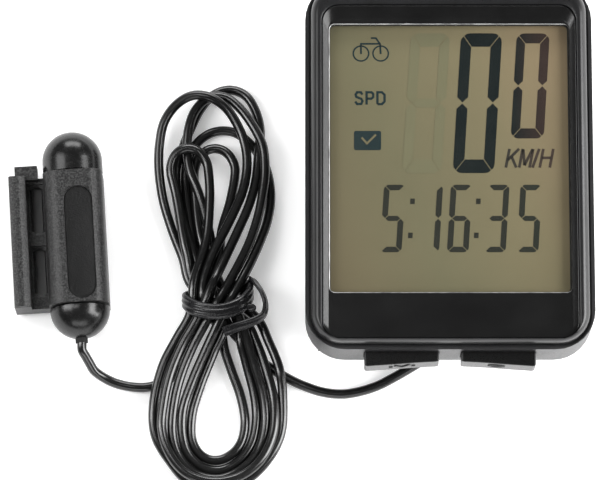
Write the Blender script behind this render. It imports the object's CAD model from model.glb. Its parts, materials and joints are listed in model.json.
"""A wired cycling computer with its hank of cable and wheel sensor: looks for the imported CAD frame."""

import json
import math

import bmesh
import bpy
import numpy as np
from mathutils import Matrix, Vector


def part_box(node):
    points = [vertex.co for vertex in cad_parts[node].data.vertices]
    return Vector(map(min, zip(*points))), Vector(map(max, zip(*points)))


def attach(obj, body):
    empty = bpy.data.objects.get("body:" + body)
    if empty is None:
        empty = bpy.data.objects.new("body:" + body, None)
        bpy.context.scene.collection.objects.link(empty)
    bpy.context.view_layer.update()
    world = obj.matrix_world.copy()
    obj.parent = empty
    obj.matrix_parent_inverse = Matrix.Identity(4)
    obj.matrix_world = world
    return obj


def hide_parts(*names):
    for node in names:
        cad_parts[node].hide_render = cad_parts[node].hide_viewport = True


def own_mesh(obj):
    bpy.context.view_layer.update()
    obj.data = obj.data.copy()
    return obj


MM = 0.001

# Heights and sizes that the CAD source states, in millimetres
FOOT_Z = 5.9
FACE_Z = 32.4
LCD_TOP_Z = 30.2
HEAD_Y = 8.0
WINDOW_Y = 8.7
CABLE_R = 0.75
SPRING_TURNS = 4
SPRING_WIRE_R = 0.12
SENSOR_POS = (-57.33, 0.9, FOOT_Z + 4.7)
SENSOR_LEAN = math.radians(3.6)

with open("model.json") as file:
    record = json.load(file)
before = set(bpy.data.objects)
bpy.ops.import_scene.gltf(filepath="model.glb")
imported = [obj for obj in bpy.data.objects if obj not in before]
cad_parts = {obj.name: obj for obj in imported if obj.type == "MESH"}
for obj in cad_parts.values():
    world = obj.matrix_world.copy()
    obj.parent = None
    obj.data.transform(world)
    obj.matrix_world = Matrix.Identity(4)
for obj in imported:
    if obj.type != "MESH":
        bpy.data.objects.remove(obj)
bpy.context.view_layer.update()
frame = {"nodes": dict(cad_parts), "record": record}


# ---- Meshes ----


def from_points(name, points, faces, material, sharp_deg=32.0):
    """An object from points in millimetres and their faces, shaded smooth except over its sharp edges."""
    bm = bmesh.new()
    made = [bm.verts.new(Vector(p) * MM) for p in points]
    for face in faces:
        bm.faces.new([made[i] for i in face])
    bmesh.ops.recalc_face_normals(bm, faces=bm.faces)
    limit = math.radians(sharp_deg)
    for face in bm.faces:
        face.smooth = True
    for edge in bm.edges:
        edge.smooth = len(edge.link_faces) == 2 and edge.calc_face_angle() < limit
    mesh = bpy.data.meshes.new(name)
    bm.to_mesh(mesh)
    bm.free()
    mesh.materials.append(material)
    piece = bpy.data.objects.new(name, mesh)
    bpy.context.scene.collection.objects.link(piece)
    return piece


def outline(w, l, r, cy, z, cx=0.0, arc=10, side=4):
    """Points round a rectangle with round corners, counterclockwise."""
    corners = [
        (cx + w / 2 - r, cy - l / 2 + r, -90),
        (cx + w / 2 - r, cy + l / 2 - r, 0),
        (cx - w / 2 + r, cy + l / 2 - r, 90),
        (cx - w / 2 + r, cy - l / 2 + r, 180),
    ]
    arcs = []
    for x, y, first_deg in corners:
        turns = [math.radians(first_deg + 90 * k / arc) for k in range(arc + 1)]
        arcs.append([(x + r * math.cos(a), y + r * math.sin(a), z) for a in turns])
    points = []
    for i, run in enumerate(arcs):
        points += run
        start = np.array(run[-1])
        end = np.array(arcs[(i + 1) % 4][0])
        points += [tuple(start + (end - start) * k / side) for k in range(1, side)]
    return points


def loft(loops, ring=False):
    """Points and faces of a skin over loops of equal length; a ring joins its last loop to its first."""
    n = len(loops[0])
    points = [p for loop in loops for p in loop]
    faces = []
    spans = len(loops) if ring else len(loops) - 1
    for i in range(spans):
        a = i * n
        b = (i + 1) % len(loops) * n
        faces += [(a + k, a + (k + 1) % n, b + (k + 1) % n, b + k) for k in range(n)]
    if not ring:
        faces.append(tuple(range(n))[::-1])
        faces.append(tuple((len(loops) - 1) * n + k for k in range(n)))
    return points, faces


def gather(shells):
    """One list of points and faces from several."""
    points = []
    faces = []
    for p, f in shells:
        base = len(points)
        points += p
        faces += [tuple(i + base for i in face) for face in f]
    return points, faces


def circle(radius, sides):
    """Points round a circle about the origin."""
    turn = np.linspace(0, 2 * math.pi, sides, False)
    return [(radius * math.cos(a), radius * math.sin(a)) for a in turn]


def tube(x, y, section, sides):
    """A ring about a line along Z, from the radii and heights of its section."""
    return loft([[(x + u, y + v, z) for u, v in circle(r, sides)] for r, z in section], True)


def rounded_loft(profile, ring=True):
    """A skin over round-cornered outlines, from the rows of values that outline() takes."""
    return loft([outline(*row) for row in profile], ring)


def sweep(path, section):
    """Points and faces of a section carried along a path without twisting."""
    line = np.array(path, float)
    tangents = np.gradient(line, axis=0)
    tangents /= np.linalg.norm(tangents, axis=1)[:, None]
    side = np.cross(tangents[0], (0.0, 0.0, 1.0))
    side /= np.linalg.norm(side)
    loops = []
    for p, t in zip(line, tangents):
        side = side - side @ t * t
        side /= np.linalg.norm(side)
        up = np.cross(side, t)
        loops.append([tuple(p + u * side + v * up) for u, v in section])
    return loft(loops)


def catmull(points, step):
    """A smooth line through the points, resampled at an even step."""
    p = np.array(points, float)
    p = np.vstack([2 * p[0] - p[1], p, 2 * p[-1] - p[-2]])
    pieces = []
    for p0, p1, p2, p3 in zip(p, p[1:], p[2:], p[3:]):
        chords = [max(np.linalg.norm(b - a), 1e-6) ** 0.5 for a, b in ((p0, p1), (p1, p2), (p2, p3))]
        t0, t1, t2, t3 = np.cumsum([0.0] + chords)
        t = np.linspace(t1, t2, 24, endpoint=False)[:, None]
        a1 = (t1 - t) / (t1 - t0) * p0 + (t - t0) / (t1 - t0) * p1
        a2 = (t2 - t) / (t2 - t1) * p1 + (t - t1) / (t2 - t1) * p2
        a3 = (t3 - t) / (t3 - t2) * p2 + (t - t2) / (t3 - t2) * p3
        b1 = (t2 - t) / (t2 - t0) * a1 + (t - t0) / (t2 - t0) * a2
        b2 = (t3 - t) / (t3 - t1) * a2 + (t - t1) / (t3 - t1) * a3
        pieces.append((t2 - t) / (t2 - t1) * b1 + (t - t1) / (t2 - t1) * b2)
    return even(np.vstack(pieces + [p[-2:-1]]), step)


def even(line, step):
    """The line again, with points an even step apart."""
    along = np.concatenate([[0], np.cumsum(np.linalg.norm(np.diff(line, axis=0), axis=1))])
    at = np.linspace(0, along[-1], int(round(along[-1] / step)) + 1)
    return np.stack([np.interp(at, along, line[:, k]) for k in range(3)], axis=1)


# ---- Materials ----

# Most of a noise texture's values lie between these
NOISE_LOW = 0.3
NOISE_HIGH = 0.7


def fill(node, values):
    """Sets a node's inputs, whose names may have underscores for spaces."""
    for key, value in values.items():
        node.inputs[key.replace("_", " ")].default_value = value
    return node


class Shader:
    """A material's nodes, placed by the object's own coordinates."""

    def __init__(self, name):
        self.material = bpy.data.materials.new(name)
        self.material.use_nodes = True
        self.nodes = self.material.node_tree.nodes
        self.links = self.material.node_tree.links
        self.bsdf = self.nodes["Principled BSDF"]
        self.place = self.nodes.new("ShaderNodeTexCoord").outputs["Object"]

    def add(self, kind, **values):
        """A new node of a kind, with fixed values for some of its inputs."""
        return fill(self.nodes.new(f"ShaderNode{kind}"), values)

    def set(self, **values):
        """Fixed values for some of the surface's inputs."""
        fill(self.bsdf, values)

    def noise(self, scale, detail=3.0, stretch=None):
        """A noise pattern, which may be stretched along the axes."""
        node = self.add("TexNoise", Scale=scale, Detail=detail)
        place = self.place
        if stretch is not None:
            mapping = self.add("Mapping", Scale=stretch)
            self.links.new(place, mapping.inputs["Vector"])
            place = mapping.outputs["Vector"]
        self.links.new(place, node.inputs["Vector"])
        return node.outputs["Fac"]

    def ramp(self, factor, *stops):
        """Colours at positions along a factor."""
        node = self.add("ValToRGB")
        elements = node.color_ramp.elements
        while len(elements) < len(stops):
            elements.new(0.5)
        for element, (position, colour) in zip(elements, stops):
            element.position = position
            element.color = (*colour, 1)
        self.links.new(factor, node.inputs["Fac"])
        return node.outputs["Color"]

    def spread(self, factor, low, high, start=NOISE_LOW, end=NOISE_HIGH):
        """A factor's range from start to end, spread from low to high."""
        node = self.add("MapRange", From_Min=start, From_Max=end, To_Min=low, To_Max=high)
        self.links.new(factor, node.inputs["Value"])
        return node.outputs["Result"]

    def along(self, way, start_mm, end_mm):
        """0 to 1 between two distances along a direction of the object."""
        node = self.add("VectorMath")
        node.operation = "DOT_PRODUCT"
        node.inputs[1].default_value = way
        self.links.new(self.place, node.inputs[0])
        return self.spread(node.outputs["Value"], 0.0, 1.0, start_mm * MM, end_mm * MM)

    def colour(self, output):
        """Drives the surface's colour."""
        self.links.new(output, self.bsdf.inputs["Base Color"])

    def roughness(self, output):
        """Drives the surface's roughness."""
        self.links.new(output, self.bsdf.inputs["Roughness"])

    def bump(self, height, strength, distance_mm):
        """Fine relief over the surface."""
        node = self.add("Bump", Strength=strength, Distance=distance_mm * MM)
        self.links.new(height, node.inputs["Height"])
        self.links.new(node.outputs["Normal"], self.bsdf.inputs["Normal"])


def grey(level, blue=0.0):
    """A neutral colour, with a little more or less blue where told."""
    return (level, level, level + blue)


def plastic(name, dark, light, rough=(0.35, 0.5), grain_per_mm=8.0, bump=0.25, depth_mm=0.02, spec=0.5):
    """Moulded plastic: two near shades in a broad mottle, with a fine grain."""
    s = Shader(name)
    broad = s.noise(160.0, 4.0)
    grain = s.noise(grain_per_mm * 1000, 3.0)
    s.colour(s.ramp(broad, (NOISE_LOW, dark), (NOISE_HIGH, light)))
    s.roughness(s.spread(grain, *rough))
    s.bump(grain, bump, depth_mm)
    s.set(Specular_IOR_Level=spec)
    return s.material


def metal(name, dark, light, rough=(0.2, 0.35), brush=None):
    """Bare or plated metal with faint drawing marks."""
    s = Shader(name)
    marks = s.noise(2500.0, 4.0, brush)
    s.colour(s.ramp(marks, (0.35, dark), (0.65, light)))
    s.roughness(s.spread(marks, *rough))
    s.bump(marks, 0.15, 0.01)
    s.set(Metallic=1.0)
    return s.material


def holder_skin():
    """Coarsely textured moulding with a pale speckle."""
    s = Shader("holder_plastic")
    grain = s.noise(3600.0, 4.0)
    s.colour(s.ramp(grain, (0.42, grey(0.003)), (0.68, grey(0.046))))
    s.roughness(s.spread(grain, 0.36, 0.52))
    s.bump(grain, 0.8, 0.08)
    s.set(Specular_IOR_Level=0.4)
    return s.material


def rubber(name, dark, light):
    """Soft black rubber with a dry bloom."""
    s = Shader(name)
    grain = s.noise(5000.0, 5.0)
    s.colour(s.ramp(s.noise(220.0, 4.0), (0.35, dark), (0.7, light)))
    s.roughness(s.spread(grain, 0.62, 0.85))
    s.bump(grain, 0.35, 0.02)
    s.set(Specular_IOR_Level=0.35)
    return s.material


def cable_skin():
    """Glossy black PVC with faint extrusion marks."""
    s = Shader("cable_pvc")
    ripple = s.noise(900.0, 3.0)
    s.colour(s.ramp(s.noise(120.0, 3.0), (0.35, grey(0.004)), (0.7, grey(0.008))))
    s.roughness(s.spread(ripple, 0.17, 0.24))
    s.bump(ripple, 0.05, 0.015)
    s.set(Specular_IOR_Level=0.6)
    return s.material


def display_film():
    """Reflective display: olive at the lower left, warmer at the upper right, with a fine grain."""
    s = Shader("display_film")
    wash = s.ramp(
        s.along((0.9, 0.35, 0.0), -20.0, 25.0),
        (0.0, (0.100, 0.083, 0.048)),
        (0.35, (0.104, 0.096, 0.055)),
        (0.7, (0.132, 0.113, 0.064)),
        (1.0, (0.180, 0.135, 0.080)),
    )
    mix = s.add("Mix", Factor=1.0)
    mix.data_type = "RGBA"
    mix.blend_type = "MULTIPLY"
    s.links.new(wash, mix.inputs["A"])
    cloud = s.ramp(s.noise(60.0, 2.0), (NOISE_LOW, grey(0.94)), (NOISE_HIGH, grey(1.0)))
    s.links.new(cloud, mix.inputs["B"])
    s.colour(mix.outputs["Result"])
    s.roughness(s.spread(s.noise(9000.0, 2.0), 0.5, 0.65))
    s.set(Specular_IOR_Level=0.0)
    return s.material


def edge_line():
    """A pale, satin line where the mask's edge catches the light."""
    s = Shader("edge_line")
    s.colour(s.ramp(s.noise(700.0, 3.0), (NOISE_LOW, grey(0.10)), (NOISE_HIGH, grey(0.32, -0.01))))
    s.set(Roughness=0.25, Metallic=0.4)
    return s.material


def ink(name, left, right):
    """The dark of lit segments, warmer towards the right."""
    s = Shader(name)
    s.colour(s.ramp(s.along((1.0, 0.0, 0.0), 9.5, 14.5), (0.0, left), (1.0, right)))
    s.roughness(s.spread(s.noise(6000.0, 2.0), 0.5, 0.65))
    s.set(Specular_IOR_Level=0.0)
    return s.material


def clear_window():
    """Clear hard window with a faint warm tint and fine haze."""
    s = Shader("clear_window")
    haze = s.noise(300.0, 4.0)
    s.colour(s.ramp(haze, (NOISE_LOW, grey(0.10, -0.01)), (NOISE_HIGH, grey(0.14, -0.02))))
    s.roughness(s.spread(haze, 0.04, 0.09))
    s.set(Alpha=0.04, Specular_IOR_Level=0.5)
    return s.material


def board_mask():
    """Green solder mask over faint copper tracks."""
    s = Shader("solder_mask")
    tracks = s.add("TexWave", Scale=260.0, Distortion=6.0)
    s.links.new(s.place, tracks.inputs["Vector"])
    s.colour(s.ramp(tracks.outputs["Fac"], (0.4, (0.012, 0.10, 0.035)), (0.6, (0.02, 0.16, 0.055))))
    s.roughness(s.spread(s.noise(1500.0), 0.25, 0.4))
    s.bump(tracks.outputs["Fac"], 0.3, 0.03)
    return s.material


def floor_paper():
    """Pale seamless paper."""
    s = Shader("studio_paper")
    s.colour(s.ramp(s.noise(40.0, 2.0), (NOISE_LOW, grey(0.93)), (NOISE_HIGH, grey(0.95))))
    s.set(Roughness=0.9, Specular_IOR_Level=0.1, Emission_Color=(1.0, 1.0, 1.0, 1.0), Emission_Strength=0.28)
    return s.material


# Colours, then the roughness's range, the grain per millimetre, its bump's strength and depth, and the shine
PLASTICS = {
    "frame_plastic": (grey(0.005), grey(0.008, 0.001), (0.26, 0.36), 9, 0.2, 0.02, 0.4),
    "gloss_black": (grey(0.004), grey(0.007), (0.19, 0.27), 3, 0.03, 0.02, 0.26),
    "white_plastic": (grey(0.42, -0.02), grey(0.52, -0.02), (0.4, 0.55)),
    "component_black": (grey(0.006), grey(0.012, 0.001), (0.45, 0.6)),
    "shell_plastic": (grey(0.008, 0.001), grey(0.015, 0.001), (0.34, 0.48), 7, 0.35, 0.03),
    "button_plastic": (grey(0.003), grey(0.005), (0.24, 0.36), 8, 0.2, 0.02, 0.24),
    "bracket_plastic": (grey(0.007, 0.001), grey(0.013, 0.001), (0.42, 0.6), 5, 0.5, 0.05),
    "tie_pvc": (grey(0.004, 0.001), grey(0.010, 0.001), (0.22, 0.34), 4, 0.3, 0.03),
    "sensor_gloss": (grey(0.003), grey(0.007), (0.2, 0.3), 2, 0.25, 0.02, 0.38),
    "reed_glass": ((0.22, 0.27, 0.22), (0.30, 0.35, 0.30), (0.08, 0.15), 3, 0.05),
}
METALS = {
    "tinned_metal": (grey(0.40, 0.02), grey(0.58, 0.02)),
    "screw_steel": ((0.38, 0.39, 0.41), (0.56, 0.57, 0.59)),
    "cell_steel": (grey(0.45, 0.01), grey(0.62, 0.01), (0.18, 0.3), (1.0, 8.0, 1.0)),
    "contact_brass": ((0.48, 0.33, 0.11), (0.70, 0.52, 0.22)),
    "spring_steel": (grey(0.42, 0.02), grey(0.64, 0.02)),
}
RUBBERS = {
    "black_film": (grey(0.006), grey(0.010)),
    "elastomer": ((0.32, 0.16, 0.13), (0.40, 0.21, 0.18)),
    "seal_rubber": (grey(0.006), grey(0.012)),
    "pad_rubber": (grey(0.010), grey(0.020)),
}
MATERIALS = {
    "lens_clear": clear_window(),
    "lcd_glass": display_film(),
    "board_green": board_mask(),
    "cable_pvc": cable_skin(),
    "holder_plastic": holder_skin(),
}
for make, rows in ((plastic, PLASTICS), (metal, METALS), (rubber, RUBBERS)):
    MATERIALS.update({name: make(name, *row) for name, row in rows.items()})
SLOT_OF = {row["node"]: row["material_slot"] for row in frame["record"]["subparts"]}


def dress(node):
    """The CAD node keeps its shape and takes its slot's material."""
    piece = frame["nodes"][node]
    material = MATERIALS[SLOT_OF[node]]
    if not piece.material_slots:
        piece.data.materials.append(material)
    for holder in piece.material_slots:
        holder.material = material


def stand_for(piece, node, body):
    """The piece takes the node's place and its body."""
    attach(piece, body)
    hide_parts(node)
    return piece


def add_trim(piece, body):
    """A small extra piece on a body."""
    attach(piece, body)
    return piece


# ---- Camera, light and floor ----

CAMERA_TARGET = (-22.58, -4.35, FACE_Z)
CAMERA_DISTANCE = 640.0
CAMERA_ELEVATION = math.radians(78.0)
CAMERA_LENS = 256.0
CAMERA_SENSOR = 36.0
# Each light's place, the size of its face and its watts
LIGHTS = {
    "right_softbox": ((540.0, -40.0, 330.0), (480.0, 560.0), 10.5),
    "left_softbox": ((-560.0, 60.0, 520.0), (420.0, 420.0), 2.6),
    "left_strip": ((-340.0, 0.0, 430.0), (36.0, 640.0), 0.85),
    "front_softbox": ((-40.0, -560.0, 250.0), (560.0, 200.0), 1.1),
    "back_softbox": ((-20.0, 600.0, 320.0), (560.0, 240.0), 3.4),
}
LIGHTS_AIM = (-20.0, 0.0, 12.0)
SURROUND_STRENGTH = 0.15
FLOOR_HALF = 4000.0


def look(holder, place, way):
    """Puts a camera or a light at a place in millimetres, turned to look along a direction."""
    holder.location = place * MM
    holder.rotation_mode = "QUATERNION"
    holder.rotation_quaternion = way.to_track_quat("-Z", "Y")
    bpy.context.scene.collection.objects.link(holder)


def add_camera():
    """A view from high above the display's lower edge."""
    data = bpy.data.cameras.new("camera")
    data.lens = CAMERA_LENS
    data.sensor_width = CAMERA_SENSOR
    data.clip_start = 0.01
    data.clip_end = 20.0
    camera = bpy.data.objects.new("camera", data)
    back = Vector((0.0, -math.cos(CAMERA_ELEVATION), math.sin(CAMERA_ELEVATION)))
    look(camera, Vector(CAMERA_TARGET) + back * CAMERA_DISTANCE, -back)
    bpy.context.scene.camera = camera


def add_area_light(name, place, size, watts):
    """A rectangular soft light, turned towards the object."""
    data = bpy.data.lights.new(name, "AREA")
    data.shape = "RECTANGLE"
    data.size = size[0] * MM
    data.size_y = size[1] * MM
    data.energy = watts
    light = bpy.data.objects.new(name, data)
    look(light, Vector(place), (Vector(LIGHTS_AIM) - Vector(place)).normalized())


def add_studio():
    """Dim surroundings, a pale floor, and soft lights on all four sides with the strongest at the right."""
    world = bpy.data.worlds.new("studio")
    bpy.context.scene.world = world
    world.use_nodes = True
    sky = world.node_tree.nodes["Background"]
    sky.inputs["Color"].default_value = (1.0, 1.0, 1.0, 1.0)
    sky.inputs["Strength"].default_value = SURROUND_STRENGTH
    for name, (place, size, watts) in LIGHTS.items():
        add_area_light(name, place, size, watts)
    bpy.context.scene.view_settings.view_transform = "Standard"
    corners = [(x * FLOOR_HALF, y * FLOOR_HALF, FOOT_Z) for x, y in ((-1, -1), (1, -1), (1, 1), (-1, 1))]
    from_points("studio_floor", corners, [(0, 1, 2, 3)], floor_paper())


# ---- The cable ----

# The run from the bracket's gland to the hank
HEAD_ROUTE = [
    (-0.1, -15.2, 8.7), (-1.1, -16.2, 8.7), (-3.3, -18, 8.2), (-5.8, -19.5, 7.4), (-8.2, -20.8, 6.9),
    (-10.6, -22, 6.7), (-13.4, -22.9, 6.7), (-16.2, -23.3, 6.7), (-19.4, -22.9, 6.7), (-22.4, -21.8, 6.7),
    (-25, -20.4, 6.7), (-27.2, -18.8, 6.7), (-29.5, -17, 6.65), (-31, -14.75, 6.9),
]
# The run from the hank to the sensor
SENSOR_ROUTE = [
    (-37.25, -12.25, 8.15), (-39.25, -15.75, 7.5), (-41.25, -19.25, 6.9), (-42.75, -21, 6.65),
    (-44, -21.6, 6.7), (-46.2, -22.2, 6.7), (-48.4, -22.2, 6.7), (-50.5, -21.8, 6.7), (-52.4, -21.1, 6.9),
    (-54, -20.2, 7.6), (-55.1, -19.3, 8.6), (-55.75, -18.4, 9.7),
]
# Heights of the strands' layers at the tie
LOW = 7.4
MID = 8.6
HIGH = 9.9
# The loops above the tie, in the order that the cable takes them: the heights where a loop starts, at its
# crown and where it ends, then the line round it
UPPER_LOOPS = [
    (LOW, 7.6, MID, [
        (-36.75, -6.25), (-37.75, -1.5), (-39, 2.5), (-39.5, 7.5), (-40, 12), (-39.5, 15.5),
        (-37.4, 17.6), (-34.6, 17), (-33.1, 13.5), (-33.8, 7.5), (-35.25, 2.5), (-35.75, -2),
        (-36.5, -6.25)]),
    (LOW, 6.7, HIGH, [
        (-37.25, -6.25), (-38.25, -1.5), (-39.5, 3.25), (-40.25, 8.75), (-40, 13.25), (-38.5, 16.75),
        (-36, 18.5), (-33, 18.5), (-30, 16.25), (-28, 12.75), (-27.25, 8.25), (-27.75, 4), (-29, 0.25),
        (-30.6, -3.5), (-32.2, -6.75)]),
    (LOW, 8.15, HIGH, [
        (-36.5, -6.75), (-37.25, -2.5), (-38, 2.5), (-39.25, 8), (-40.5, 12.75), (-40.5, 17.5),
        (-39.25, 21.5), (-37, 24), (-34.5, 24), (-32.25, 22), (-30.25, 19.25), (-28.75, 16), (-28.25, 12),
        (-28.5, 8.5), (-29.25, 4.25), (-30.5, 0.25), (-32.2, -3.5), (-33.9, -6.75)]),
    (LOW, 7.2, HIGH, [
        (-37.5, -6.25), (-38.5, -2), (-39.5, 2.5), (-40.75, 7.5), (-41, 12), (-40.25, 15.5),
        (-39.25, 18.75), (-37.75, 22.25), (-35.75, 24.5), (-33.25, 25.25), (-31, 24.25), (-29.5, 21.75),
        (-28.75, 18.5), (-29, 14.75), (-29.5, 10), (-30.6, 6), (-32.5, 1.5), (-34.4, -2.75),
        (-36.1, -6.5)]),
    (LOW, 8.9, HIGH, [
        (-38, -6.25), (-39, -1.5), (-40.25, 3.75), (-41.5, 9), (-42.6, 12.5), (-43.0, 15.75),
        (-42, 18.25), (-39.75, 18.9), (-37.75, 17), (-36.9, 13), (-36.5, 9), (-36.5, 5), (-36.75, 0.75),
        (-37.5, -2.75), (-38.5, -6.25)]),
    (LOW, 9.65, MID, [
        (-39, -6.75), (-40.5, -2), (-42.25, 2.5), (-43.75, 7.25), (-44.5, 12), (-44.5, 16),
        (-43.75, 19.75), (-41.75, 22.5), (-39.25, 23.75), (-36.5, 23.25), (-34.25, 21.75), (-32.5, 19.25),
        (-31.25, 16.25), (-30.75, 12.75), (-31.25, 8.75), (-32.5, 5.25), (-34.25, 1.25), (-36, -2.75),
        (-37, -6.25)]),
]
# The loops below the tie: the height at the bottom, then the line from the tie's left round to its right
LOWER_LOOPS = [
    (7.0, [
        (-34.25, -12.25), (-36, -17), (-38, -22.25), (-39.25, -26.75), (-39.25, -30.75), (-38, -33.25),
        (-36, -34.25), (-33.5, -33.5), (-31.5, -31.25), (-30.75, -28), (-31.25, -23.75), (-32.5, -19.5),
        (-33.5, -15.75), (-34, -12.25)]),
    (7.4, [
        (-35, -12.25), (-37.25, -17), (-39.5, -22.25), (-40.75, -26.25), (-40.75, -30), (-39.75, -33),
        (-37.5, -35), (-34.75, -35.5), (-32, -34), (-30, -31.25), (-29.25, -27.25), (-29.75, -23),
        (-31.25, -18.25), (-32.5, -14.75), (-33, -12.25)]),
    (8.0, [
        (-37, -12), (-39.4, -16.5), (-41.3, -21.5), (-42.25, -26.5), (-42.25, -30.5), (-41, -33.75),
        (-38.5, -36), (-35, -36.5), (-31.5, -35), (-29, -32.25), (-28, -28.5), (-28.25, -24.25),
        (-29.75, -19.5), (-31, -15.5), (-32.25, -12.25)]),
    (8.8, [
        (-38.6, -12), (-40.9, -16), (-42.8, -20.75), (-43.75, -25.25), (-44, -28.75), (-43, -32.25),
        (-40.5, -35.5), (-36.75, -37), (-32.5, -36.5), (-29, -34), (-27, -30), (-26.75, -25.25),
        (-28, -20), (-29.5, -15.75), (-31.25, -12.25)]),
    (7.6, [
        (-39.25, -11.5), (-41.25, -15), (-43.5, -19.25), (-45, -25.25), (-44.75, -30), (-42.5, -34),
        (-39.75, -37), (-35.75, -38), (-31.75, -37.25), (-28.25, -34.25), (-26, -30), (-25.75, -25.25),
        (-26.25, -20.5), (-28.25, -15.75), (-30.25, -12.25)]),
]
CORD_STEP = 1.0
# The tightest bend that the cable allows, and the margin that easing keeps to it
MIN_BEND = 3.0
BEND_MARGIN = 1.15
# Where the tie passes beneath the strands, how far each way its lift is felt, and how much it lifts them
TIE_Y = -9.6
TIE_LEFT = -42
TIE_RIGHT = -29
TIE_REACH = 6.0
TIE_THICK = 1.1
# Settling goes on for this many rounds, and the last few smooth less
SETTLE_ROUNDS = 140
LAST_ROUNDS = 12
# Strands' centres stay the first distance apart, and pairs nearer than the second are watched
STRAND_GAP = 2 * CABLE_R + 0.03
WATCH_GAP = STRAND_GAP + 1.2
# Points this near along the cable aren't compared
SAME_STRAND = 4
# How far free strands sink in each round
SINK = 0.004


def with_heights(line, start, middle, end):
    """The plan line with a height at each point, changing evenly to the middle and on to the end."""
    last = len(line) - 1
    return [(x, y, np.interp(i / last, (0, 0.5, 1), (start, middle, end))) for i, (x, y) in enumerate(line)]


def cord_design():
    """The cable as it was wound by hand, before its strands have settled against each other."""
    points = list(HEAD_ROUTE)
    for number, (start, crown, end, line) in enumerate(UPPER_LOOPS):
        points += with_heights(line, start, crown, end)
        if number < len(LOWER_LOOPS):
            bottom, line = LOWER_LOOPS[number]
            points += with_heights(line, end, bottom, LOW)
    x, y, z = on_sensor_axis(-18.0)
    return points + SENSOR_ROUTE + [(x, y - 0.2, z - 0.25), on_sensor_axis(-17.0), on_sensor_axis(-16.0)]


def on_sensor_axis(u):
    """A point on the sensor's axis."""
    x, y, z = SENSOR_POS
    return (x - u * math.sin(SENSOR_LEAN), y + u * math.cos(SENSOR_LEAN), z)


def lowest_centre(line):
    """How low each point's centre may lie: on the table, or on the tie where that passes beneath."""
    near = np.clip(1 - np.abs(line[:, 1] - TIE_Y) / TIE_REACH, 0, 1)
    over = near * near * (3 - 2 * near) * (line[:, 0] < TIE_RIGHT) * (line[:, 0] > TIE_LEFT)
    return FOOT_Z + CABLE_R + TIE_THICK * over


def bend_radius(line):
    """The radius of the circle through each point and its two neighbours."""
    a = line[:-2]
    b = line[1:-1]
    c = line[2:]
    sides = [np.linalg.norm(v, axis=1) for v in (b - a, c - b, c - a)]
    radius = np.full(len(line), 1e3)
    double_area = np.linalg.norm(np.cross(b - a, c - a), axis=1)
    radius[1:-1] = sides[0] * sides[1] * sides[2] / (2 * double_area + 1e-9)
    return radius


def ease(line, free, rounds=200):
    """Opens each bend that is tighter than the cable allows."""
    for _ in range(rounds):
        tight = np.clip((MIN_BEND * BEND_MARGIN - bend_radius(line)) / MIN_BEND, 0, 1)
        for _ in range(3):
            tight[1:-1] = np.maximum(tight[1:-1], 0.8 * np.maximum(tight[:-2], tight[2:]))
        pull = np.zeros_like(line)
        pull[1:-1] = 0.5 * (line[:-2] + line[2:]) - line[1:-1]
        line = line + 0.6 * (tight * free)[:, None] * pull
    return line


def settle(line, free):
    """Pushes strands apart where they overlap, and spreads each push smoothly along its strand."""
    count = len(line)
    index = np.arange(count)
    apart = np.abs(index[:, None] - index[None, :]) * CORD_STEP > SAME_STRAND
    offset = np.zeros_like(line)
    lowest = lowest_centre(line) - line[:, 2]
    for turn in range(SETTLE_ROUNDS):
        points = line + offset
        if turn % 8 == 0:
            between = np.sqrt(((points[:, None, :] - points[None, :, :]) ** 2).sum(2))
            first, second = np.nonzero(apart & (between < WATCH_GAP))
        away = points[first] - points[second]
        far = np.sqrt((away**2).sum(1)) + 1e-9
        hit = far < STRAND_GAP
        push = away[hit] * ((STRAND_GAP - far[hit]) / 2 / far[hit])[:, None]
        move = np.zeros_like(line)
        hits = np.zeros(count)
        np.add.at(move, first[hit], push)
        np.add.at(hits, first[hit], 1)
        offset += 1.2 * move / np.maximum(hits, 1)[:, None]
        last = turn >= SETTLE_ROUNDS - LAST_ROUNDS
        for _ in range(1 if last else 3):
            offset[1:-1] += (0.15 if last else 0.5) * (0.5 * (offset[:-2] + offset[2:]) - offset[1:-1])
        offset[:, 2] = np.maximum(offset[:, 2] - SINK, lowest)
        offset[~free] = 0
    return line + offset


def nearest(line, point):
    """The index of the line's point that is nearest to a given one."""
    return np.argmin(np.linalg.norm(line - np.array(point), axis=1))


def cord_line():
    """The cable's settled line, whose two ends stay where the gland and the sensor hold them."""
    line = catmull(cord_design(), CORD_STEP)
    free = np.zeros(len(line), bool)
    free[nearest(line, HEAD_ROUTE[9]):nearest(line, SENSOR_ROUTE[6])] = True
    bendable = np.ones(len(line), bool)
    bendable[:3] = False
    bendable[-3:] = False
    line = ease(line, bendable)
    line = settle(line, free)
    line = ease(line, bendable, 40)
    return catmull(line, CORD_STEP / 2)


def add_cord():
    """The cable from the bracket's gland, through the hank, to the sensor, as one curve."""
    line = cord_line()
    curve = bpy.data.curves.new("signal_cable", "CURVE")
    curve.dimensions = "3D"
    curve.bevel_depth = CABLE_R * MM
    curve.bevel_resolution = 5
    curve.use_fill_caps = True
    spline = curve.splines.new("POLY")
    spline.points.add(len(line) - 1)
    spline.points.foreach_set("co", np.column_stack([line * MM, np.ones(len(line))]).ravel())
    spline.use_smooth = True
    curve.materials.append(MATERIALS["cable_pvc"])
    cable = bpy.data.objects.new("signal_cable", curve)
    bpy.context.scene.collection.objects.link(cable)
    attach(cable, "bracket")
    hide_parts("cable_run_head", "cable_hank", "cable_run_sensor")
    return cable


# ---- The tie round the hank ----

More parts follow.
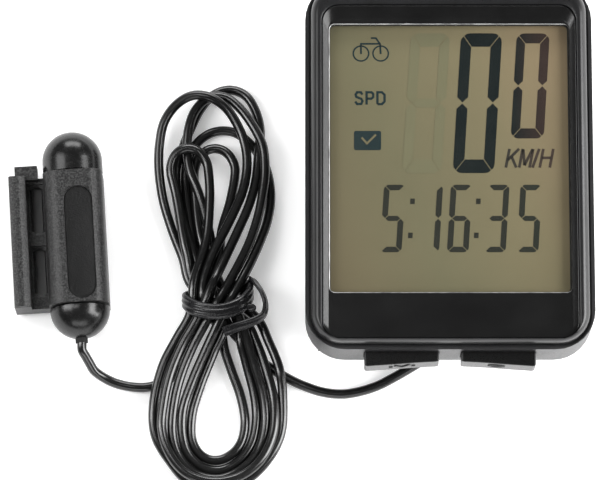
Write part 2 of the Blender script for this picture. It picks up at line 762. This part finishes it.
# The band's centre line round the neck, from its left end over the front and back beneath
BAND_LINE = [
    (-40.4, -9.0, 9.3), (-39.8, -10.0, 10.9), (-38.5, -10.9, 12.2), (-36.6, -11.4, 12.75),
    (-34.7, -11.4, 12.8), (-32.9, -10.9, 12.6), (-31.4, -10.0, 12.0), (-30.5, -8.7, 10.8),
    (-30.3, -7.4, 9.2), (-31.2, -6.6, 7.4), (-33.0, -6.6, 6.65), (-35.5, -7.0, 6.6), (-38.0, -7.6, 6.65),
    (-39.7, -8.3, 7.4),
]
# The tail: points with the way that the strip's ribbed face looks
TAIL_LINE = [
    ((-31.0, -6.3, 8.4), (0.9, 0.0, 0.4)), ((-30.0, -5.9, 9.4), (0.8, 0.3, 0.5)),
    ((-29.1, -7.0, 10.3), (0.9, 0.2, 0.3)), ((-28.3, -8.5, 10.9), (0.95, 0.1, 0.25)),
    ((-27.9, -10.1, 11.2), (1.0, -0.1, 0.25)), ((-28.2, -11.6, 11.4), (0.8, -0.5, 0.4)),
    ((-29.3, -12.5, 11.6), (0.4, -0.5, 0.75)), ((-30.9, -13.2, 11.8), (0.1, -0.35, 0.95)),
    ((-32.6, -13.8, 11.9), (0.0, -0.25, 1.0)), ((-34.4, -14.5, 11.9), (0.0, -0.25, 1.0)),
]
KNOB_CENTRE = (-30.1, -10.7, 11.5)
NECK_CENTRE = (-35.4, 0.0, 9.4)


def ribbed(width, thick, ribs=3, proud=0.13, steps=25):
    """A flat strip's section with round edges and ribs along its outer face."""
    half = width / 2
    outer = []
    for k in range(steps):
        u = -half + width * k / (steps - 1)
        edge = math.sqrt(max(0.0, 1 - (u / half) ** 4))
        outer.append((u, thick / 2 * edge + proud * edge * math.cos(math.pi * ribs * u / width) ** 2))
    inner = [(-u, -thick / 2 * math.sqrt(max(0.0, 1 - (u / half) ** 4))) for u, _ in outer[1:-1]]
    return outer + inner


def strip(line, faces_to, section, ring):
    """Points and faces of a section swept along a line, with its outer face turned as told."""
    line, faces_to = np.array(line, float), np.array(faces_to, float)
    before, after = (np.roll(line, 1, 0), np.roll(line, -1, 0)) if ring else (line[:-2], line[2:])
    along = after - before
    if not ring:
        along = np.vstack([along[:1], along, along[-1:]])
    along /= np.linalg.norm(along, axis=1)[:, None]
    loops = []
    for p, t, n in zip(line, along, faces_to):
        side = np.cross(t, n)
        side /= np.linalg.norm(side)
        up = np.cross(side, t)
        loops.append([tuple(p + u * side + v * up) for u, v in section])
    return loft(loops, ring)


def band_shell():
    """The band round the hank's neck, closed on itself."""
    line = catmull(BAND_LINE[-2:] + BAND_LINE + BAND_LINE[:2], 0.3)
    overlap = 40
    start = nearest(line[:overlap], BAND_LINE[0])
    stop = len(line) - overlap + nearest(line[-overlap:], BAND_LINE[0])
    line = line[start:stop]
    outward = (line - np.array(NECK_CENTRE)) * np.array([1.0, 0.0, 1.6])
    return strip(line, outward, ribbed(2.5, 0.85), True)


def tail_shell():
    """The strip's tail, curled back over the band."""
    line = catmull([p for p, _ in TAIL_LINE], 0.25)
    turn = catmull([n for _, n in TAIL_LINE], 0.01)
    turn = turn[np.linspace(0, len(turn) - 1, len(line)).round().astype(int)]
    return strip(line, turn, ribbed(1.6, 0.7, 2, 0.1), False)


def knob_shell():
    """The small curl at the strip's other end."""
    x, y, z = KNOB_CENTRE
    spiral = [
        (x + (0.2 + 0.05 * k) * math.cos(0.9 * k), y + (0.15 + 0.035 * k) * math.sin(0.9 * k), z + 0.03 * k)
        for k in range(12)
    ]
    return sweep(catmull(spiral, 0.12), circle(0.24, 12))


def add_tie():
    """A ribbed PVC strip: one band round the neck of the hank, and its tail curled back over it."""
    shells = [band_shell(), tail_shell(), knob_shell()]
    strap = from_points("hank_tie_strip", *gather(shells), MATERIALS["tie_pvc"], 60)
    return stand_for(strap, "hank_tie", "bracket")


# ---- Head unit ----

# Outlines of the head's round-cornered parts: width, length, corner radius, middle y and height
FRAME_PROFILE = [
    (41.6, 55.4, 4.6, HEAD_Y, 29.1), (41.8, 55.6, 4.7, HEAD_Y, 29.25), (41.8, 55.6, 4.7, HEAD_Y, 30.9),
    (41.72, 55.54, 4.66, HEAD_Y, 31.25), (41.45, 55.3, 4.5, 7.92, 31.6), (41.0, 54.95, 4.3, 7.82, 31.92),
    (40.45, 54.5, 4.05, 7.7, 32.2), (40.1, 54.15, 3.85, 7.62, 32.33), (39.7, 53.8, 3.7, 7.5, FACE_Z),
    (38.95, 51.68, 2.75, 6.54, FACE_Z), (38.7, 51.56, 2.62, 6.48, 32.34), (38.6, 51.5, 2.6, 6.45, 32.2),
    (38.6, 51.5, 2.6, 6.45, 30.4), (37.8, 45.0, 1.5, WINDOW_Y, 30.4), (37.8, 45.0, 1.5, WINDOW_Y, 29.1),
    (37.4, 51.2, 4.0, HEAD_Y, 29.1), (37.4, 51.2, 4.0, HEAD_Y, 28.0), (39.4, 53.2, 4.3, HEAD_Y, 28.0),
    (39.4, 53.2, 4.3, HEAD_Y, 29.1),
]
SCREW_X = (-16.8, 16.8)
SCREW_Y = (-16.2, 32.2)
# A screw post's section, as radii and heights
POST_SECTION = [(0.62, 26.5), (1.7, 26.5), (1.7, 29.3), (0.62, 29.3)]
MASK_PROFILE = [
    (38.4, 51.3, 2.5, 6.45, 30.4), (38.4, 51.3, 2.5, 6.45, 32.15), (38.3, 51.25, 2.45, 6.43, 32.26),
    (38.2, 51.18, 2.4, 6.4, 32.28), (38.08, 51.1, 2.35, 6.36, 32.22), (36.75, 49.42, 1.75, 5.53, 31.76),
    (36.62, 49.28, 1.7, 5.47, 31.71), (36.5, 49.16, 1.6, 5.41, 31.7), (36.36, 41.56, 0.82, 8.52, 31.7),
    (36.26, 41.46, 0.8, 8.52, 31.64), (36.26, 41.66, 0.8, WINDOW_Y, 31.56),
    (36.3, 41.7, 0.8, WINDOW_Y, 30.4),
]
# The trim is thinner at its right, so its outlines also have a middle x
TRIM_PROFILE = [
    (36.3, 41.4, 0.8, 8.52, 31.6, 0.05), (36.32, 41.42, 0.8, 8.52, 31.7, 0.05),
    (36.4, 41.54, 0.84, 8.52, 31.74, 0.03), (36.46, 41.66, 0.9, 8.52, 31.71, 0.0),
    (36.48, 41.68, 0.9, 8.52, 31.6, 0.0),
]
GASKET_PROFILE = [
    (36.0, 41.4, 0.7, WINDOW_Y, 30.22), (37.3, 42.3, 0.8, WINDOW_Y, 30.22),
    (37.3, 42.3, 0.8, WINDOW_Y, 30.39), (36.0, 41.4, 0.7, WINDOW_Y, 30.39),
]
LENS_PROFILE = [
    (35.9, 41.3, 0.7, WINDOW_Y, 30.4), (36.1, 41.5, 0.75, WINDOW_Y, 30.5),
    (36.1, 41.5, 0.75, WINDOW_Y, 31.42), (35.85, 41.25, 0.65, WINDOW_Y, 31.55),
]


def add_front_frame():
    """The frame round the display: a rounded outer slope, a flat rim and the recess for the mask."""
    shells = [rounded_loft(FRAME_PROFILE)]
    for x in SCREW_X:
        for y in SCREW_Y:
            shells.append(tube(x, y, POST_SECTION, 32))
    rim = from_points("display_frame", *gather(shells), MATERIALS["frame_plastic"])
    stand_for(rim, "front_frame", "head")


def add_mask():
    """The glossy mask round the window, sloping down from the frame to the window's edge."""
    mask = from_points("window_mask", *rounded_loft(MASK_PROFILE), MATERIALS["gloss_black"], 25)
    stand_for(mask, "display_bezel", "head")


def add_window_trim():
    """The bright cut edge of the mask round the window."""
    edge = from_points("window_edge_line", *rounded_loft(TRIM_PROFILE), edge_line(), 40)
    add_trim(edge, "head")


def add_gasket():
    """The thin black gasket under the window's rim."""
    gasket = from_points("window_gasket", *rounded_loft(GASKET_PROFILE), MATERIALS["black_film"])
    stand_for(gasket, "lens_gasket", "head")


def add_lens():
    """The clear window with its polished chamfer."""
    lens = from_points("display_window", *rounded_loft(LENS_PROFILE, False), MATERIALS["lens_clear"])
    lens.visible_shadow = False
    stand_for(lens, "window_lens", "head")


# ---- What the display shows ----

SEGMENTS = {"0": "abcdef", "1": "bc", "3": "abcdg", "5": "acdfg", "6": "acdefg", "8": "abcdefg"}
SEGMENT_LEAN = math.tan(math.radians(3.8))
INK_BASE_Z = LCD_TOP_Z
INK_Z = LCD_TOP_Z + 0.03
# Each digit's mark, its middle, width, height, the widths of its upright and level bars, and their gap
SPEED_DIGITS = [
    ("0", 4.33, 17.35, 6.25, 21.8, 1.64, 2.1, 0.1),
    ("0", 12.35, 20.03, 5.0, 16.4, 1.34, 1.55, 0.09),
]
UNLIT_DIGIT = ("8", -3.45, 17.35, 5.95, 21.8, 1.5, 2.1, 0.1)
# The clock's digits differ in their mark and middle x only
CLOCK_DIGITS = [("5", -8.59), ("1", -2.95), ("6", 1.49), ("3", 7.08), ("5", 12.0)]
CLOCK_SHAPE = (-0.56, 3.25, 10.4, 0.86, 0.84, 0.08)
COLON_X = (-5.8, 4.13)
COLON_Y = (2.08, -3.17)
WHEEL_X = (-13.31, -10.32)
WHEEL_Y = 25.08
WHEEL_SECTION = [(1.06, INK_BASE_Z), (1.28, INK_BASE_Z), (1.28, INK_Z), (1.06, INK_Z)]
BICYCLE_LINES = [
    [(-13.31, 25.0), (-13.31, 26.6), (-10.45, 26.6)],
    [(-10.32, 25.0), (-10.4, 26.55), (-11.05, 27.5), (-11.8, 27.5)],
]
TICK_LINE = [(-13.25, 11.95), (-12.45, 11.05), (-11.1, 12.4)]
# Letters on a box one unit high; each is its width and its strokes
LETTERS = {
    "K": (0.54, [[(0, 0), (0, 1)], [(0.5, 1), (0.02, 0.4)], [(0.18, 0.6), (0.54, 0)]]),
    "M": (0.54, [[(0, 0), (0, 1)], [(0.03, 0.97), (0.25, 0.12)], [(0.25, 0.12), (0.51, 0.97)],
                 [(0.54, 1), (0.54, 0)]]),
    "/": (0.22, [[(0, 0), (0.16, 1)]]),
    "H": (0.52, [[(0, 0), (0, 1)], [(0.52, 0), (0.52, 1)], [(0, 0.52), (0.52, 0.52)]]),
    "S": (0.56, [[(0.54, 0.78), (0.42, 0.96), (0.14, 0.96), (0.03, 0.78), (0.08, 0.6), (0.46, 0.44),
                  (0.55, 0.26), (0.45, 0.05), (0.14, 0.04), (0, 0.24)]]),
    "P": (0.52, [[(0, 0), (0, 0.96), (0.36, 0.96), (0.5, 0.84), (0.5, 0.58), (0.36, 0.46), (0, 0.46)]]),
    "D": (0.56, [[(0, 0.03), (0, 0.96), (0.34, 0.96), (0.54, 0.76), (0.54, 0.24), (0.34, 0.03), (0, 0.03)]]),
}


def segment_outlines(w, h, across, down, gap):
    """The seven segments of a digit centred on the origin, each as a polygon."""
    x = w / 2
    y = h / 2
    c = 0.85 * across
    s = across / 2
    top = [(-x + c, y), (x - c, y), (x - 0.62 * c, y - 0.08 * c), (x - 0.3 * c - gap, y - 0.3 * c),
           (x - across - gap, y - down), (-x + across + gap, y - down), (-x + 0.3 * c + gap, y - 0.3 * c),
           (-x + 0.62 * c, y - 0.08 * c)]
    right = [(x, y - c), (x, s + gap), (x - s, gap), (x - across, s + gap), (x - across, y - down - gap),
             (x - 0.3 * c, y - 0.3 * c - gap), (x - 0.08 * c, y - 0.62 * c)]
    bar = [(-x + s + gap, 0), (-x + across + gap, s * 0.9), (x - across - gap, s * 0.9), (x - s - gap, 0),
           (x - across - gap, -s * 0.9), (-x + across + gap, -s * 0.9)]
    return {
        "a": top, "b": right, "c": [(u, -v) for u, v in right], "d": [(u, -v) for u, v in top],
        "e": [(-u, -v) for u, v in right], "f": [(-u, v) for u, v in right], "g": bar,
    }


def plate(outline_points, low=INK_BASE_Z, high=INK_Z):
    """A thin flat plate over a polygon."""
    return loft([[(x, y, low) for x, y in outline_points], [(x, y, high) for x, y in outline_points]])


def digit(mark, cx, cy, w, h, across, down, gap):
    """The lit segments of one leaning digit."""
    made = []
    for name in SEGMENTS[mark]:
        corners = segment_outlines(w, h, across, down, gap)[name]
        made.append(plate([(cx + x + y * SEGMENT_LEAN, cy + y) for x, y in corners]))
    return made


def stroke(points, width, low=INK_BASE_Z, high=INK_Z):
    """A flat line of even width with mitred corners, through points in the plane."""
    line = np.array(points, float)
    ways = np.diff(line, axis=0)
    ways /= np.linalg.norm(ways, axis=1)[:, None]
    across = np.column_stack([-ways[:, 1], ways[:, 0]])
    left = []
    right = []
    for i, p in enumerate(line):
        mitre = across[max(i - 1, 0)] + across[min(i, len(across) - 1)]
        mitre = mitre / max(mitre @ mitre / 2, 0.5) * width / 2
        left.append(tuple(p + mitre))
        right.append(tuple(p - mitre))
    shells = []
    for i in range(len(line) - 1):
        shells.append(plate([left[i], right[i], right[i + 1], left[i + 1]], low, high))
    return shells


def lettering(word, x, y, height, advance, weight, slant=0.0):
    """A word in plain strokes, from its lower left corner."""
    shells = []
    for mark in word:
        width, lines = LETTERS[mark]
        for line in lines:
            shells += stroke([(x + (u + v * slant) * height, y + v * height) for u, v in line], weight)
        x += width * height + advance
    return shells


def add_ink(name, shells, left, right):
    """Flat shapes on the display, in an ink whose colour changes from left to right."""
    add_trim(from_points(name, *gather(shells), ink(name, left, right)), "head")


def clock_shells():
    """The clock's digits and its two leaning colons."""
    shells = []
    for mark, cx in CLOCK_DIGITS:
        shells += digit(mark, cx, *CLOCK_SHAPE)
    for cx in COLON_X:
        for cy in COLON_Y:
            x = cx + (cy + 0.5) * SEGMENT_LEAN
            foot = [(x - 0.34, cy - 0.42), (x + 0.34, cy - 0.42)]
            head = [(x + 0.38, cy + 0.42), (x - 0.3, cy + 0.42)]
            shells.append(plate(foot + head))
    return shells


def icon_shells():
    """The small label, the plain bicycle and the box for the tick."""
    shells = lettering("SPD", -14.2, 17.1, 2.0, 0.6, 0.36)
    for cx in WHEEL_X:
        shells.append(tube(cx, WHEEL_Y, WHEEL_SECTION, 40))
    for line in BICYCLE_LINES:
        shells += stroke(line, 0.27)
    box = outline(4.1, 3.0, 0.3, 11.5, 0, cx=-12.36, arc=5, side=1)
    shells.append(plate([(x, y) for x, y, _ in box]))
    return shells


def add_display():
    """The figures that the display shows, and the faint trace of a digit that is off."""
    speed = [shell for row in SPEED_DIGITS for shell in digit(*row)]
    unit = lettering("KM/H", 8.52, 7.3, 2.9, 0.45, 0.42, 0.2)
    tick = stroke(TICK_LINE, 0.3, INK_Z, INK_Z + 0.02)
    add_ink("speed_figures", speed, (0.001, 0.004, 0.005), (0.022, 0.013, 0.011))
    add_ink("clock_figures", clock_shells(), (0.012, 0.013, 0.010), (0.012, 0.015, 0.011))
    add_ink("speed_unit", unit, (0.022, 0.020, 0.016), (0.036, 0.025, 0.020))
    add_ink("icon_figures", icon_shells(), (0.007, 0.016, 0.018), (0.009, 0.018, 0.019))
    add_ink("tick_figure", tick, (0.100, 0.088, 0.050), (0.100, 0.090, 0.052))
    add_ink("unlit_digit", digit(*UNLIT_DIGIT), (0.104, 0.099, 0.057), (0.110, 0.102, 0.058))


# ---- Buttons' marks ----

BUTTON_MID_Z = 25.4
MARK_HEIGHT = 0.16
CHEVRON_LINE = [(-8.3, 1.0), (-7.2, -0.3), (-6.1, 1.0)]
DOTS_X = (-8.9, -5.5)
# The oval's section, as insets from its edge and heights
OVAL_SECTION = [(0.36, 0.0), (0.0, 0.0), (0.0, MARK_HEIGHT), (0.36, MARK_HEIGHT)]
# Where the buttons' outer face lies, at distances from the middle
FACE_X = (1.7, 2.2, 5.5, 8.3, 12.6)
FACE_Y = (-21.9, -22.0, -22.18, -22.4, -22.7)


def add_mark(side, shells):
    """Flat marks stood up against a button's outer face."""
    points, faces = gather(shells)
    stood = [(x, np.interp(abs(x), FACE_X, FACE_Y) - z + 0.02, BUTTON_MID_Z + y) for x, y, z in points]
    mark = from_points(f"{side}_button_mark", stood, faces, MATERIALS["component_black"])
    add_trim(mark, f"{side}_button")


def add_button_marks():
    """A chevron between two dots on the left button's face, and an oval on the right one's, both raised."""
    chevron = stroke(CHEVRON_LINE, 0.42, 0, MARK_HEIGHT)
    dots = [plate([(cx + u, v) for u, v in circle(0.3, 16)], 0, MARK_HEIGHT) for cx in DOTS_X]
    add_mark("left", chevron + dots)
    oval = []
    for inset, z in OVAL_SECTION:
        oval.append([(7.0 + (1.3 - inset) * u, 0.3 + (0.75 - inset) * v, z) for u, v in circle(1.0, 32)])
    add_mark("right", [loft(oval, True)])


# ---- Contact pins' springs ----


def add_pin_spring(side):
    """A round-wire helix under a contact pin, which shortens as the pin goes down."""
    node = f"{side}_pin_spring"
    low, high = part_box(node)
    centre = (low + high) / 2
    coil_r = (high[0] - low[0]) / 2 / MM - SPRING_WIRE_R
    bottom = low[2] / MM + SPRING_WIRE_R
    top = high[2] / MM - SPRING_WIRE_R
    path = []
    for part in np.linspace(0, 1, 24 * SPRING_TURNS + 1):
        a = 2 * math.pi * SPRING_TURNS * part
        x = centre[0] / MM + coil_r * math.cos(a)
        y = centre[1] / MM + coil_r * math.sin(a)
        path.append((x, y, bottom + (top - bottom) * part))
    helix = sweep(path, circle(SPRING_WIRE_R, 10))
    spring = from_points(f"{side}_pin_helix", *helix, MATERIALS["spring_steel"])
    stand_for(spring, node, "bracket")
    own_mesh(spring)


# ---- Sensor's clip ----

# All of these are in the sensor's frame: across it, along it and up from its axis
RECESS_PROFILE = [
    (4.3, 17.6, 2.14, -1.9, 4.45, 0.75), (4.3, 17.6, 2.14, -1.9, 4.54, 0.75),
    (4.1, 17.4, 2.04, -1.9, 4.57, 0.75), (3.7, 17.0, 1.84, -1.9, 4.55, 0.75),
]
STRAP_STARTS = (-9.2, 0.6)
STRAP_LENGTH = 8.1
STRAP_FLOOR = -3.85
GUIDES_ACROSS = (-7.05, -4.75)
# A guide's widths, corner radii and heights
GUIDE_SECTION = [(0.4, 0.1, STRAP_FLOOR), (0.7, 0.15, -3.6), (0.7, 0.15, -1.3), (0.3, 0.1, -0.9)]
SADDLE_ACROSS = (-7.3, -4.4)
SADDLE_BASE = -2.6
RIB_SECTION = [
    (-9.95, 1.72), (-7.45, 1.72), (-7.5, 1.84), (-8.3, 2.36), (-8.5, 2.42), (-9.65, 2.42), (-9.88, 2.3),
    (-9.95, 2.1),
]
RIB_ALONG = (-11.05, -10.9, 9.45, 9.6)


def at_sensor(points):
    """Points in the sensor's frame (across, along, up) put where the sensor lies."""
    x, y, z = SENSOR_POS
    c = math.cos(SENSOR_LEAN)
    n = math.sin(SENSOR_LEAN)
    return [(x + v * c - u * n, y + v * n + u * c, z + w) for v, u, w in points]


def add_clip_piece(name, shells, material):
    """A small piece on the clip, from shells in the sensor's frame."""
    points, faces = gather(shells)
    add_trim(from_points(name, at_sensor(points), faces, material), "bracket")


def add_recess_floor():
    """The finely grained floor of the clip's long round-ended recess."""
    skin = plastic("clip_recess", grey(0.002), grey(0.006), (0.3, 0.45), 4.2, 0.8, 0.08, 0.3)
    add_clip_piece("clip_recess", [rounded_loft(RECESS_PROFILE, False)], skin)


def guide(across, start):
    """A round-edged wall along one side of a strap window."""
    mid = start + STRAP_LENGTH / 2
    return loft([outline(w, STRAP_LENGTH, r, mid, z, across, 4, 2) for w, r, z in GUIDE_SECTION])


def saddle(end, way):
    """A rounded edge at a strap window's end, dipped in its middle."""
    low, high = SADDLE_ACROSS
    loops = []
    for v in np.linspace(low, high, 13):
        dip = 0.75 * (1 - ((2 * v - low - high) / (high - low)) ** 2)
        loops.append([
            (v, end - 0.15 * way, -0.55 - 0.4 * dip),
            (v, end + way * (1.15 - dip), -0.75 - 0.4 * dip),
            (v, end + way * (1.0 - dip), SADDLE_BASE),
            (v, end - 0.15 * way, SADDLE_BASE),
        ])
    return loft(loops)


def ramp(start):
    """A slope over the floor of a strap window."""
    end = start + STRAP_LENGTH
    loops = []
    for part in np.linspace(0, 1, 9):
        v = -6.75 + 1.7 * part
        rise = 0.9 * part - 3.75
        loops.append([(v, start, rise), (v, end, rise), (v, end, STRAP_FLOOR), (v, start, STRAP_FLOOR)])
    return loft(loops)


def add_strap_guides():
    """Ramps, guides and saddles in and round the clip's two strap windows, and the rib's cap."""
    shells = []
    for start in STRAP_STARTS:
        shells += [guide(across, start) for across in GUIDES_ACROSS]
        shells += [saddle(start, 1), saddle(start + STRAP_LENGTH, -1)]
    shells.append(loft([[(v, u, w) for v, w in RIB_SECTION] for u in RIB_ALONG]))
    pale = plastic("clip_ramp", grey(0.22), grey(0.32), (0.3, 0.45), 3, 0.2)
    add_clip_piece("strap_ramps", [ramp(start) for start in STRAP_STARTS], pale)
    add_clip_piece("strap_guides", shells, MATERIALS["holder_plastic"])


# ---- Softened edges of the CAD's hard parts ----

SHARP_DEG = 38
WELD_GAP = 0.002
# How much the edges of each part are rounded
SOFT_EDGES = {
    "rear_shell": 0.16, "left_button": 0.2, "right_button": 0.2, "battery_cover": 0.12,
    "bracket_base": 0.2, "sensor_holder": 0.22, "sensor_pad": 0.15, "case_screws": 0.06,
    "cable_gland": 0.12, "lcd_holder": 0.1, "controller_chip": 0.08, "battery_holder": 0.08,
    "bar_pad": 0.12, "left_switch": 0.08, "right_switch": 0.08,
}


def smooth_by_angle():
    """Node group that shades a mesh smooth, apart from its sharp edges."""
    group = bpy.data.node_groups.new("smooth_by_angle", "GeometryNodeTree")
    group.interface.new_socket("Geometry", in_out="INPUT", socket_type="NodeSocketGeometry")
    group.interface.new_socket("Geometry", in_out="OUTPUT", socket_type="NodeSocketGeometry")
    node = group.nodes.new
    link = group.links.new
    source = node("NodeGroupInput")
    drop = node("GeometryNodeRemoveAttribute")
    drop.inputs["Name"].default_value = "custom_normal"
    faces = node("GeometryNodeSetShadeSmooth")
    edges = node("GeometryNodeSetShadeSmooth")
    edges.domain = "EDGE"
    angle = node("GeometryNodeInputMeshEdgeAngle")
    blunt = node("FunctionNodeCompare")
    blunt.operation = "LESS_THAN"
    blunt.inputs["B"].default_value = math.radians(SHARP_DEG)
    result = node("NodeGroupOutput")
    link(source.outputs[0], drop.inputs["Geometry"])
    link(drop.outputs["Geometry"], faces.inputs["Geometry"])
    link(faces.outputs["Geometry"], edges.inputs["Geometry"])
    link(angle.outputs["Unsigned Angle"], blunt.inputs["A"])
    link(blunt.outputs["Result"], edges.inputs["Shade Smooth"])
    link(edges.outputs["Geometry"], result.inputs[0])
    return group


def soften(node, width, smoothing):
    """Rounds the sharp edges of a CAD node that keeps its shape."""
    piece = frame["nodes"][node]
    weld = piece.modifiers.new("weld", "WELD")
    weld.merge_threshold = WELD_GAP * MM
    bevel = piece.modifiers.new("bevel", "BEVEL")
    bevel.width = width * MM
    bevel.segments = 3
    bevel.limit_method = "ANGLE"
    bevel.angle_limit = math.radians(SHARP_DEG)
    bevel.use_clamp_overlap = True
    smooth = piece.modifiers.new("smooth", "NODES")
    smooth.node_group = smoothing
    weighted = piece.modifiers.new("weighted", "WEIGHTED_NORMAL")
    weighted.keep_sharp = True


# ---- The whole scene ----

add_camera()
add_studio()
cable = add_cord()
tie = add_tie()
for node in frame["nodes"]:
    dress(node)
smoothing = smooth_by_angle()
for node, width in SOFT_EDGES.items():
    soften(node, width, smoothing)
add_front_frame()
add_mask()
add_window_trim()
add_gasket()
add_lens()
add_display()
add_button_marks()
for side in ("left", "right"):
    add_pin_spring(side)
add_recess_floor()
add_strap_guides()
